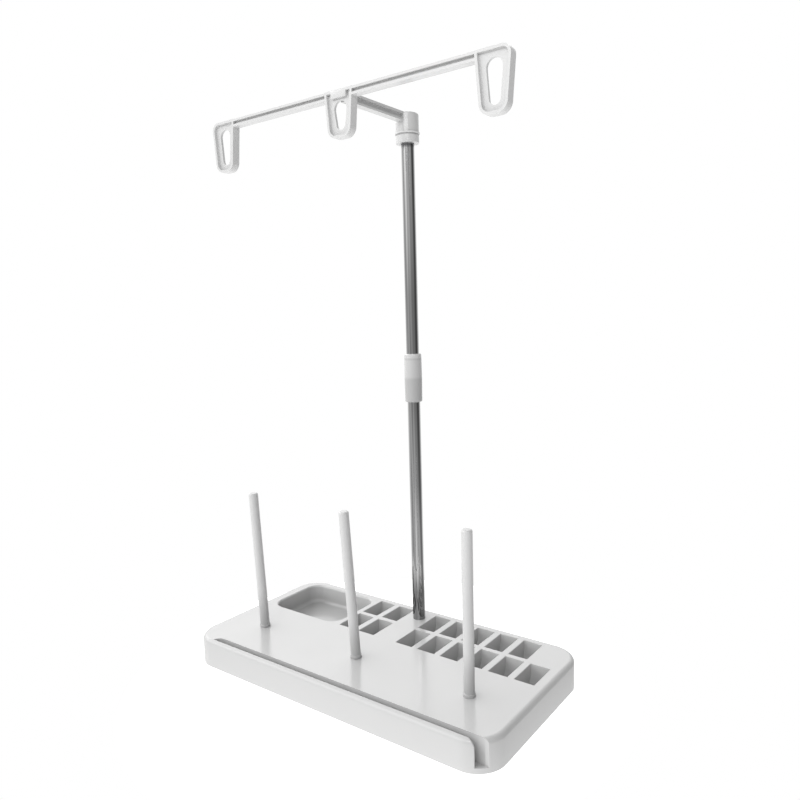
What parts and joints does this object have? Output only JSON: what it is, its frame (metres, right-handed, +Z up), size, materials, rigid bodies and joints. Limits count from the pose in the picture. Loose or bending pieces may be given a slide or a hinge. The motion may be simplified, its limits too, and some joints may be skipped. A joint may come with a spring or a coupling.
{
  "type": "thread rack",
  "caption": "Thread rack with a moulded base holding bobbin pockets, a dish and a slot, upright spool pins, and a two-part pole with a swivelling thread-guide crossbar.",
  "frame": {"origin": "on the floor, below the middle of the base", "axes": "+X along the base to its right end, +Y from the front wall to the back, +Z up"},
  "size_m": [0.2274, 0.1192, 0.3569],
  "materials": {
    "base_plastic": "glossy white moulded plastic",
    "pin_plastic": "satin white moulded plastic",
    "guide_plastic": "satin white moulded plastic",
    "tube_chrome": "polished chrome plate on steel tube",
    "foot_rubber": "matt grey rubber"
  },
  "bodies": {
    "stand": {"base": "base_plastic", "foot_front_left": "foot_rubber", "foot_front_right": "foot_rubber", "foot_back_left": "foot_rubber", "foot_back_right": "foot_rubber"},
    "left_pin": {"spool_pin_left": "pin_plastic"},
    "middle_pin": {"spool_pin_middle": "pin_plastic"},
    "right_pin": {"spool_pin_right": "pin_plastic"},
    "lower_pole": {"lower_tube": "tube_chrome", "tube_coupler": "guide_plastic"},
    "upper_pole": {"upper_tube": "tube_chrome", "stop_collar": "guide_plastic"},
    "guide": {"guide_arm": "guide_plastic", "crossbar": "guide_plastic"}
  },
  "joints": [
    {"name": "left_pin_pull", "type": "slide", "parent": "stand", "child": "left_pin", "axis": [0, -0.0506, 0.9987], "range_m": [0, 0.012]},
    {"name": "middle_pin_pull", "type": "slide", "parent": "stand", "child": "middle_pin", "axis": [0, -0.0732, 0.9973], "range_m": [0, 0.012]},
    {"name": "right_pin_pull", "type": "slide", "parent": "stand", "child": "right_pin", "axis": [0, 0, 1], "range_m": [0, 0.012]},
    {"name": "pole_pull", "type": "slide", "parent": "stand", "child": "lower_pole", "axis": [0, 0, 1], "range_m": [0, 0.015]},
    {"name": "upper_pole_pull", "type": "slide", "parent": "lower_pole", "child": "upper_pole", "axis": [0, 0, 1], "range_m": [0, 0.015]},
    {"name": "arm_swivel", "type": "hinge", "parent": "upper_pole", "child": "guide", "pos_m": [0, 0.045, 0.35], "axis": [0, 0, 1], "continuous": true}
  ]
}
